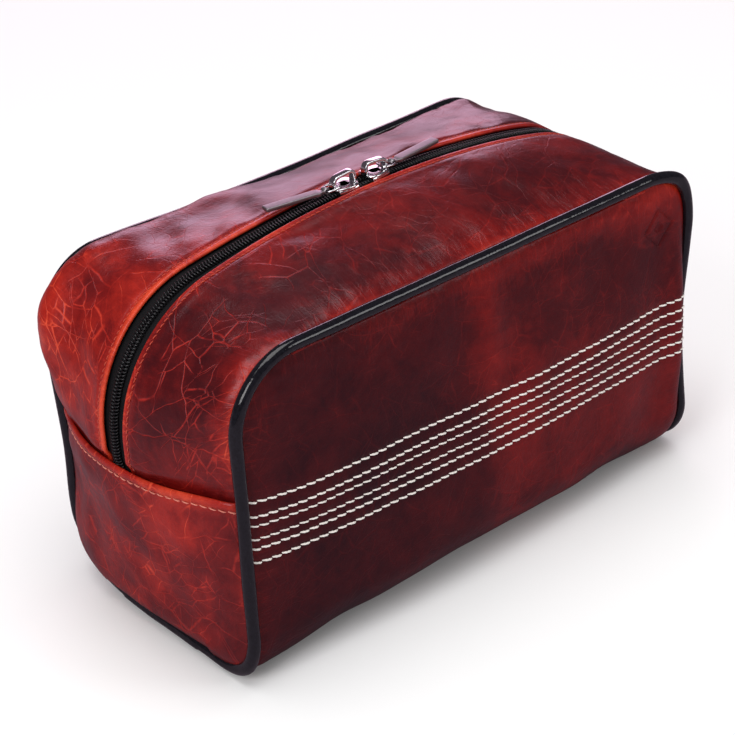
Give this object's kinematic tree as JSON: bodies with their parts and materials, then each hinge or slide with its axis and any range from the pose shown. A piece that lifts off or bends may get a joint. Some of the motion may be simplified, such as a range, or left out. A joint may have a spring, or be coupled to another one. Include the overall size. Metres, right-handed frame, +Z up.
{
  "type": "toiletry bag",
  "caption": "Boxy leather wash bag with a two-way zip arching over the top and down both ends, piped edges, and rows of pale stitching across the front.",
  "frame": {"origin": "middle of the base, on the surface that the bag stands on", "axes": "+X along the bag's length, -Y towards the front with the stitched rows, +Z up"},
  "size_m": [0.2792, 0.1388, 0.168],
  "materials": {
    "leather_dark": "glossy pull-up leather, dark maroon with redder patches",
    "leather_red": "glossy pull-up leather, orange-red to maroon with fine creases",
    "piping_patent": "glossy black coated binding",
    "cotton_cord": "plain cord inside the piping",
    "zip_tape": "woven black tape",
    "zip_coil": "black nylon coil",
    "slider_metal": "bright plated",
    "tab_metal": "brushed gunmetal",
    "lining": "plain woven lining",
    "board": "stiff fibre board",
    "thread_cream": "waxed thread",
    "thread_red": "waxed thread"
  },
  "bodies": {
    "bag": {"front_panel": "leather_dark", "back_panel": "leather_dark", "end_panel_left": "leather_red", "end_panel_right": "leather_red", "shoulder_front_left": "leather_red", "shoulder_front_right": "leather_red", "shoulder_back_left": "leather_red", "shoulder_back_right": "leather_red", "piping_cover": "piping_patent", "piping_cord": "cotton_cord", "zip_tape_ends": "zip_tape", "zip_coil_ends": "zip_coil", "lining_body": "lining", "lining_end_left": "lining", "lining_end_right": "lining", "base_board": "board", "stitch_rows": "thread_cream", "zip_stitching_ends": "thread_red", "hem_stitching_left": "thread_red", "hem_stitching_right": "thread_red"},
    "front_flap": {"top_strip_front": "leather_red", "lining_top_front": "lining", "zip_tape_front": "zip_tape", "zip_coil_front": "zip_coil", "zip_stitching_front": "thread_red"},
    "back_flap": {"top_strip_back": "leather_red", "lining_top_back": "lining", "zip_tape_back": "zip_tape", "zip_coil_back": "zip_coil", "zip_stitching_back": "thread_red"},
    "slider_left": {"slider_left": "slider_metal"},
    "slider_right": {"slider_right": "slider_metal"},
    "pull_link_left": {"pull_link_left": "slider_metal"},
    "pull_link_right": {"pull_link_right": "slider_metal"},
    "pull_tab_left": {"pull_tab_left": "tab_metal"},
    "pull_tab_right": {"pull_tab_right": "tab_metal"}
  },
  "joints": [
    {"name": "front_flap_open", "type": "hinge", "parent": "bag", "child": "front_flap", "pos_m": [0, -0.062, 0.144], "axis": [1, 0, 0], "range_deg": [0, 60], "deforming": ["zip_tape_front", "zip_coil_front"]},
    {"name": "back_flap_open", "type": "hinge", "parent": "bag", "child": "back_flap", "pos_m": [0, 0.062, 0.144], "axis": [-1, 0, 0], "range_deg": [0, 60], "deforming": ["zip_tape_back", "zip_coil_back"]},
    {"name": "slider_left_travel", "type": "hinge", "parent": "bag", "child": "slider_left", "pos_m": [0, 0, -0.319], "axis": [0, -1, 0], "range_deg": [0, 8.52]},
    {"name": "pull_link_left_lift", "type": "hinge", "parent": "slider_left", "child": "pull_link_left", "pos_m": [-0.01969, 0, 0.16321], "axis": [0, 1, 0], "range_deg": [0, 60]},
    {"name": "pull_tab_left_lift", "type": "hinge", "parent": "pull_link_left", "child": "pull_tab_left", "pos_m": [-0.02594, 0, 0.16244], "axis": [0, 1, 0], "range_deg": [0, 50]},
    {"name": "slider_right_travel", "type": "hinge", "parent": "bag", "child": "slider_right", "pos_m": [0, 0, -0.319], "axis": [0, 1, 0], "range_deg": [0, 10.44]},
    {"name": "pull_link_right_lift", "type": "hinge", "parent": "slider_right", "child": "pull_link_right", "pos_m": [0.0036, 0, 0.1636], "axis": [0, -1, 0], "range_deg": [0, 60]},
    {"name": "pull_tab_right_lift", "type": "hinge", "parent": "pull_link_right", "child": "pull_tab_right", "pos_m": [0.00988, 0, 0.16304], "axis": [0, -1, 0], "range_deg": [0, 50]}
  ],
  "couplings": [
    {"joint": "back_flap_open", "follows": "front_flap_open", "ratio": 1},
    {"joint": "slider_left_travel", "follows": "front_flap_open", "ratio": 0.142},
    {"joint": "slider_right_travel", "follows": "front_flap_open", "ratio": 0.174}
  ]
}
